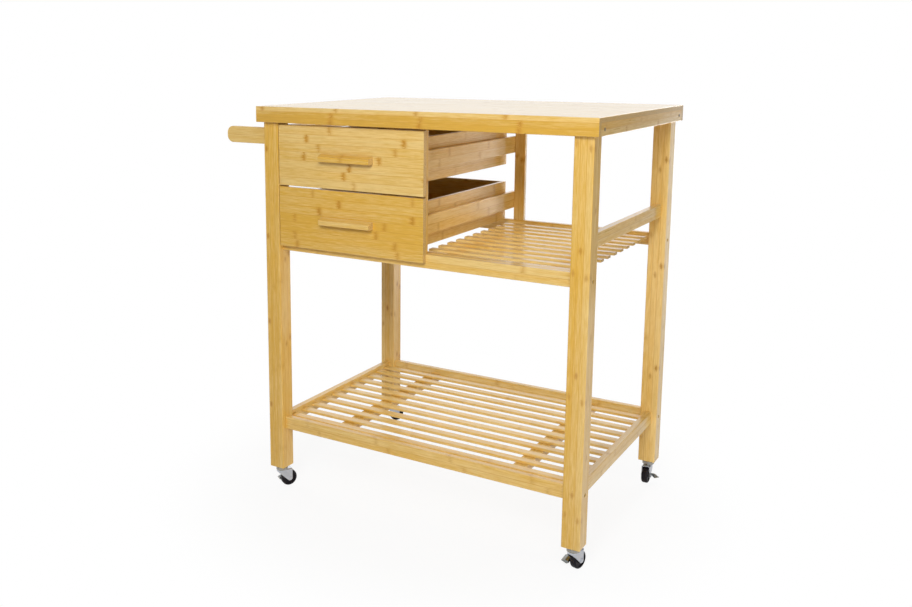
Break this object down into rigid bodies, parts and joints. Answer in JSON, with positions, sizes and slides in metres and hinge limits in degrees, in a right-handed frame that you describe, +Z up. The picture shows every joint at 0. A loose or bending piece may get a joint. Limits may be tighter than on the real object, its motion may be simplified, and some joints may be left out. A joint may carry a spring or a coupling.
{
  "type": "kitchen cart",
  "caption": "Bamboo kitchen cart with a worktop, pull-out drawers, slatted shelves, an end towel bar and braked swivel casters.",
  "frame": {"origin": "on the floor, under the middle of the cart's outer box, with the towel bar and the drawer pulls included", "axes": "+Z up, drawers open towards -Y, towel bar at the -X end"},
  "size_m": [0.918, 0.576, 0.9232],
  "materials": {
    "bamboo": "lacquered bamboo strips, semi-gloss",
    "bamboo_top": "lacquered bamboo strips, semi-gloss",
    "bamboo_panel": "thin bamboo panel, satin",
    "zinc": "bright zinc plated pressed steel",
    "fastener": "zinc plated steel",
    "wheel": "smooth black moulded tread"
  },
  "bodies": {
    "cart": {"barrel_nuts": "fastener", "bottom_rail_front": "bamboo", "bottom_rail_left": "bamboo", "bottom_rail_rear": "bamboo", "bottom_rail_right": "bamboo", "bottom_shelf_battens": "bamboo", "bottom_shelf_slats": "bamboo", "caster_stems": "zinc", "frame_bolts": "fastener", "handle_arm_front": "bamboo", "handle_arm_rear": "bamboo", "handle_bar": "bamboo", "leg_front_left": "bamboo", "leg_front_right": "bamboo", "leg_rear_left": "bamboo", "leg_rear_right": "bamboo", "lower_runner_left": "bamboo", "lower_runner_right": "bamboo", "mid_rail_front": "bamboo", "mid_rail_rear": "bamboo", "mid_rail_right": "bamboo", "mid_shelf_battens": "bamboo", "mid_shelf_slats": "bamboo", "post_front": "bamboo", "post_rear": "bamboo", "upper_runner_left": "bamboo", "upper_runner_right": "bamboo", "worktop_edge_front": "bamboo_top", "worktop_edge_left": "bamboo_top", "worktop_edge_rear": "bamboo_top", "worktop_edge_right": "bamboo_top", "worktop_panel": "bamboo_top"},
    "upper_drawer": {"upper_drawer_back": "bamboo", "upper_drawer_bottom": "bamboo_panel", "upper_drawer_front": "bamboo", "upper_drawer_guides": "bamboo", "upper_drawer_pull": "bamboo", "upper_drawer_side_left": "bamboo", "upper_drawer_side_right": "bamboo"},
    "lower_drawer": {"lower_drawer_back": "bamboo", "lower_drawer_bottom": "bamboo_panel", "lower_drawer_front": "bamboo", "lower_drawer_guides": "bamboo", "lower_drawer_pull": "bamboo", "lower_drawer_side_left": "bamboo", "lower_drawer_side_right": "bamboo"},
    "caster_front_left": {"caster_fork_front_left": "zinc"},
    "wheel_front_left": {"caster_wheel_front_left": "wheel"},
    "brake_front_left": {"caster_brake_front_left": "zinc"},
    "caster_front_right": {"caster_fork_front_right": "zinc"},
    "wheel_front_right": {"caster_wheel_front_right": "wheel"},
    "brake_front_right": {"caster_brake_front_right": "zinc"},
    "caster_rear_left": {"caster_fork_rear_left": "zinc"},
    "wheel_rear_left": {"caster_wheel_rear_left": "wheel"},
    "brake_rear_left": {"caster_brake_rear_left": "zinc"},
    "caster_rear_right": {"caster_fork_rear_right": "zinc"},
    "wheel_rear_right": {"caster_wheel_rear_right": "wheel"},
    "brake_rear_right": {"caster_brake_rear_right": "zinc"}
  },
  "joints": [
    {"name": "upper_drawer_slide", "type": "slide", "parent": "cart", "child": "upper_drawer", "axis": [0, -1, 0], "range_m": [0, 0.32]},
    {"name": "lower_drawer_slide", "type": "slide", "parent": "cart", "child": "lower_drawer", "axis": [0, -1, 0], "range_m": [0, 0.32]},
    {"name": "swivel_front_left", "type": "hinge", "parent": "cart", "child": "caster_front_left", "pos_m": [-0.319, -0.252, 0.0552], "axis": [0, 0, 1], "continuous": true},
    {"name": "wheel_spin_front_left", "type": "hinge", "parent": "caster_front_left", "child": "wheel_front_left", "pos_m": [-0.31086, -0.23731, 0.0195], "axis": [-0.8746, 0.4848, 0], "continuous": true},
    {"name": "brake_lever_front_left", "type": "hinge", "parent": "caster_front_left", "child": "brake_front_left", "pos_m": [-0.31086, -0.23731, 0.0195], "axis": [-0.8746, 0.4848, 0], "range_deg": [0, 20]},
    {"name": "swivel_front_right", "type": "hinge", "parent": "cart", "child": "caster_front_right", "pos_m": [0.427, -0.252, 0.0552], "axis": [0, 0, 1], "continuous": true},
    {"name": "wheel_spin_front_right", "type": "hinge", "parent": "caster_front_right", "child": "wheel_front_right", "pos_m": [0.43106, -0.2357, 0.0195], "axis": [-0.9703, 0.2419, 0], "continuous": true},
    {"name": "brake_lever_front_right", "type": "hinge", "parent": "caster_front_right", "child": "brake_front_right", "pos_m": [0.43106, -0.2357, 0.0195], "axis": [-0.9703, 0.2419, 0], "range_deg": [0, 20]},
    {"name": "swivel_rear_left", "type": "hinge", "parent": "cart", "child": "caster_rear_left", "pos_m": [-0.319, 0.256, 0.0552], "axis": [0, 0, 1], "continuous": true},
    {"name": "wheel_spin_rear_left", "type": "hinge", "parent": "caster_rear_left", "child": "wheel_rear_left", "pos_m": [-0.30866, 0.26924, 0.0195], "axis": [-0.788, 0.6157, 0], "continuous": true},
    {"name": "brake_lever_rear_left", "type": "hinge", "parent": "caster_rear_left", "child": "brake_rear_left", "pos_m": [-0.30866, 0.26924, 0.0195], "axis": [-0.788, 0.6157, 0], "range_deg": [0, 20]},
    {"name": "swivel_rear_right", "type": "hinge", "parent": "cart", "child": "caster_rear_right", "pos_m": [0.427, 0.256, 0.0552], "axis": [0, 0, 1], "continuous": true},
    {"name": "wheel_spin_rear_right", "type": "hinge", "parent": "caster_rear_right", "child": "wheel_rear_right", "pos_m": [0.42759, 0.23921, 0.0195], "axis": [0.9994, 0.0349, 0], "continuous": true},
    {"name": "brake_lever_rear_right", "type": "hinge", "parent": "caster_rear_right", "child": "brake_rear_right", "pos_m": [0.42759, 0.23921, 0.0195], "axis": [0.9994, 0.0349, 0], "range_deg": [0, 20]}
  ]
}
